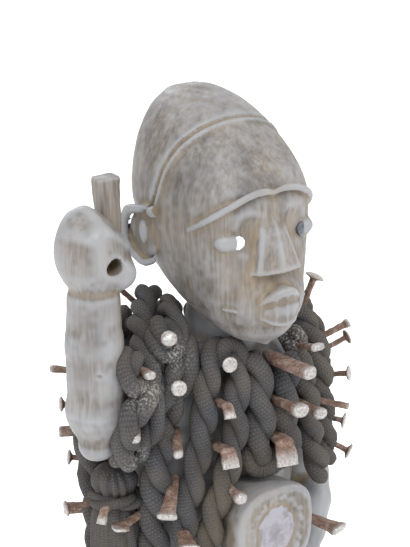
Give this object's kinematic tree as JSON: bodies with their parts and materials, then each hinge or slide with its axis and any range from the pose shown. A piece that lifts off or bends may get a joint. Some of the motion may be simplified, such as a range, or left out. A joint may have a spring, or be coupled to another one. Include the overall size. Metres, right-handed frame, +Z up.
{
  "type": "nail fetish figure",
  "caption": "Standing carved wood power figure on a low base, one fist raised, with a belly box, a mantle of twisted cloth ropes and iron nails driven through it.",
  "frame": {"origin": "middle of the base's underside", "axes": "+Z up along the standing figure, -Y the way it looks, -X its right side with the raised arm"},
  "size_m": [0.2597, 0.1824, 0.6457],
  "materials": {
    "carved_wood": "worn hand-carved grey-brown wood with a soft waxed sheen and ochre dust in the recesses",
    "rope_cloth": "matt charcoal knitted cloth, dusty, twisted in pairs",
    "nail_iron": "rusty hand-made iron with worn light grey ends",
    "pale_eye_glass": "white backed glass with a blue-grey chip",
    "dark_eye_glass": "dark blue-grey glass, dulled",
    "box_mirror": "blind lavender-grey old mirror glass"
  },
  "bodies": {
    "root": {"arch_rope": "rope_cloth", "back_loop_left_rope": "rope_cloth", "back_loop_right_rope": "rope_cloth", "belly_loop_rope": "rope_cloth", "belly_mirror": "box_mirror", "chest_rope": "rope_cloth", "cloth_bundle": "rope_cloth", "collar_loop_rope": "rope_cloth", "elbow_rope": "rope_cloth", "figure": "carved_wood", "fist_peg": "carved_wood", "inner_side_rope": "rope_cloth", "left_back_rope": "rope_cloth", "left_breast_rope": "rope_cloth", "left_eye_glass": "dark_eye_glass", "left_outer_rope": "rope_cloth", "left_side_rope": "rope_cloth", "nail_01_behind_neck": "nail_iron", "nail_02_collar": "nail_iron", "nail_03_shoulder_loop": "nail_iron", "nail_04_arch": "nail_iron", "nail_05_chest": "nail_iron", "nail_06_breast": "nail_iron", "nail_07_elbow": "nail_iron", "nail_08_chest_low": "nail_iron", "nail_09_flat_bent": "nail_iron", "nail_10_blade": "nail_iron", "nail_11_box_side": "nail_iron", "nail_12_leaf": "nail_iron", "nail_13_clamp": "nail_iron", "nail_14_long_bar": "nail_iron", "nail_15_under_bar": "nail_iron", "nail_16_wide_clamp": "nail_iron", "nail_17_flared": "nail_iron", "nail_18_knob": "nail_iron", "nail_19_shoulder_top": "nail_iron", "nail_20_right_edge": "nail_iron", "nail_21_right_edge": "nail_iron", "nail_22_right_edge": "nail_iron", "nail_23_right_edge": "nail_iron", "nail_24_right_edge": "nail_iron", "nail_25_right_edge": "nail_iron", "nail_26_left_edge": "nail_iron", "nail_27_left_edge": "nail_iron", "nail_28_left_edge": "nail_iron", "nail_29_left_edge": "nail_iron", "nail_30_left_edge": "nail_iron", "nail_31_left_edge": "nail_iron", "nail_32_left_edge": "nail_iron", "nail_33_under_arm": "nail_iron", "nail_34_beside_box": "nail_iron", "nail_35_back": "nail_iron", "nail_36_back": "nail_iron", "nail_37_back": "nail_iron", "right_back_rope": "rope_cloth", "right_eye_glass": "pale_eye_glass", "right_side_back_rope": "rope_cloth", "shoulder_loop_rope": "rope_cloth"}
  },
  "joints": []
}
